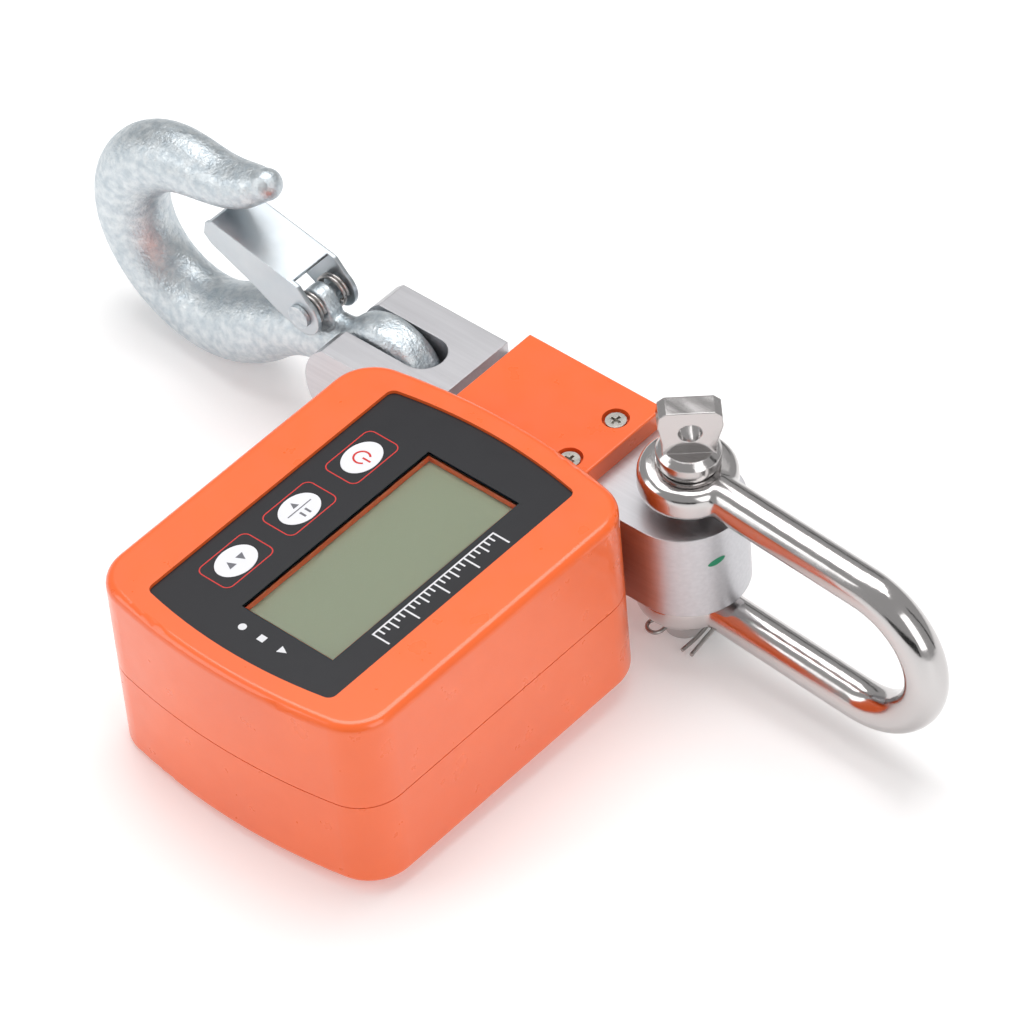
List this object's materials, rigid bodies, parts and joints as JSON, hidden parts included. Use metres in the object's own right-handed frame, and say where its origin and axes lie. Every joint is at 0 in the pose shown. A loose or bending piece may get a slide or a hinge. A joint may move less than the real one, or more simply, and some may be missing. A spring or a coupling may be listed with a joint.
{
  "type": "digital crane scale",
  "caption": "Compact hanging digital scale: painted display housing on a load cell bar, bow shackle with turned pin and cotter, and a swinging hook with a sprung latch.",
  "frame": {"origin": "middle of the housing's flat back face", "axes": "+X along the load axis from hook to shackle, +Y from the housing towards the load cell bar, +Z out of the display"},
  "size_m": [0.3052, 0.1538, 0.0884],
  "materials": {
    "orange_paint": "gloss",
    "overlay_print": "satin",
    "clear_window": "gloss",
    "lcd_glass": "gloss",
    "light_guide": "gloss",
    "board_green": "satin",
    "chip_black": "matte",
    "socket_nylon": "matte",
    "switch_metal": "satin",
    "key_white": "satin",
    "plunger_black": "matte",
    "seal_rubber": "matte",
    "black_plastic": "matte",
    "cell_wrap": "gloss",
    "contact_steel": "satin",
    "screw_steel": "satin",
    "bar_aluminium": "satin",
    "gauge_foil": "satin",
    "sealant_white": "matte",
    "cable_jacket": "matte",
    "pin_steel": "satin",
    "zinc_forging": "satin",
    "latch_steel": "satin",
    "polished_steel": "polished"
  },
  "bodies": {
    "scale_body": {"front_shell": "orange_paint", "rear_cover": "orange_paint", "case_seal": "seal_rubber", "case_screws": "screw_steel", "plate_screws": "screw_steel", "display_overlay": "overlay_print", "lcd_window": "clear_window", "lcd_panel": "lcd_glass", "lcd_backlight": "light_guide", "circuit_board": "board_green", "circuit_chips": "chip_black", "cable_socket": "socket_nylon", "tact_switches": "switch_metal", "board_screws": "screw_steel", "battery_holder": "black_plastic", "battery_cells": "cell_wrap", "battery_contacts": "contact_steel", "battery_springs": "contact_steel", "battery_door": "black_plastic", "door_screws": "screw_steel", "load_cell_bar": "bar_aluminium", "strain_gauges": "gauge_foil", "gauge_sealant": "sealant_white", "signal_cable": "cable_jacket", "hook_pin": "pin_steel"},
    "power_key": {"power_button": "key_white", "power_plunger": "plunger_black"},
    "hold_key": {"hold_button": "key_white", "hold_plunger": "plunger_black"},
    "unit_key": {"unit_button": "key_white", "unit_plunger": "plunger_black"},
    "hook": {"hook_forging": "zinc_forging", "latch_rivet": "zinc_forging", "latch_spring": "contact_steel"},
    "latch": {"hook_latch": "latch_steel"},
    "shackle": {"shackle_bow": "polished_steel"},
    "pin": {"shackle_pin": "polished_steel", "split_pin": "contact_steel"}
  },
  "joints": [
    {"name": "power_press", "type": "slide", "parent": "scale_body", "child": "power_key", "axis": [0, 0, -1], "range_m": [0, 0.0005], "stiffness_N_per_m": 600, "springref_m": -0.0003},
    {"name": "hold_press", "type": "slide", "parent": "scale_body", "child": "hold_key", "axis": [0, 0, -1], "range_m": [0, 0.0005], "stiffness_N_per_m": 600, "springref_m": -0.0003},
    {"name": "unit_press", "type": "slide", "parent": "scale_body", "child": "unit_key", "axis": [0, 0, -1], "range_m": [0, 0.0005], "stiffness_N_per_m": 600, "springref_m": -0.0003},
    {"name": "hook_swing", "type": "hinge", "parent": "scale_body", "child": "hook", "pos_m": [-0.0617, 0.076, 0.02885], "axis": [0, 1, 0], "range_deg": [-90, 90]},
    {"name": "latch_open", "type": "hinge", "parent": "hook", "child": "latch", "pos_m": [-0.0871, 0.076, 0.04125], "axis": [0, -1, 0], "range_deg": [0, 35], "stiffness_Nm_per_rad": 0.05, "springref_deg": -20.05, "deforming": ["latch_spring"]},
    {"name": "shackle_swing", "type": "hinge", "parent": "scale_body", "child": "shackle", "pos_m": [0.0456, 0.076, 0.0305], "axis": [0.0906, 0, 0.9959], "range_deg": [-60, 90]},
    {"name": "pin_turn", "type": "hinge", "parent": "shackle", "child": "pin", "pos_m": [0.0456, 0.076, 0.0305], "axis": [0.0906, 0, 0.9959], "continuous": true}
  ]
}
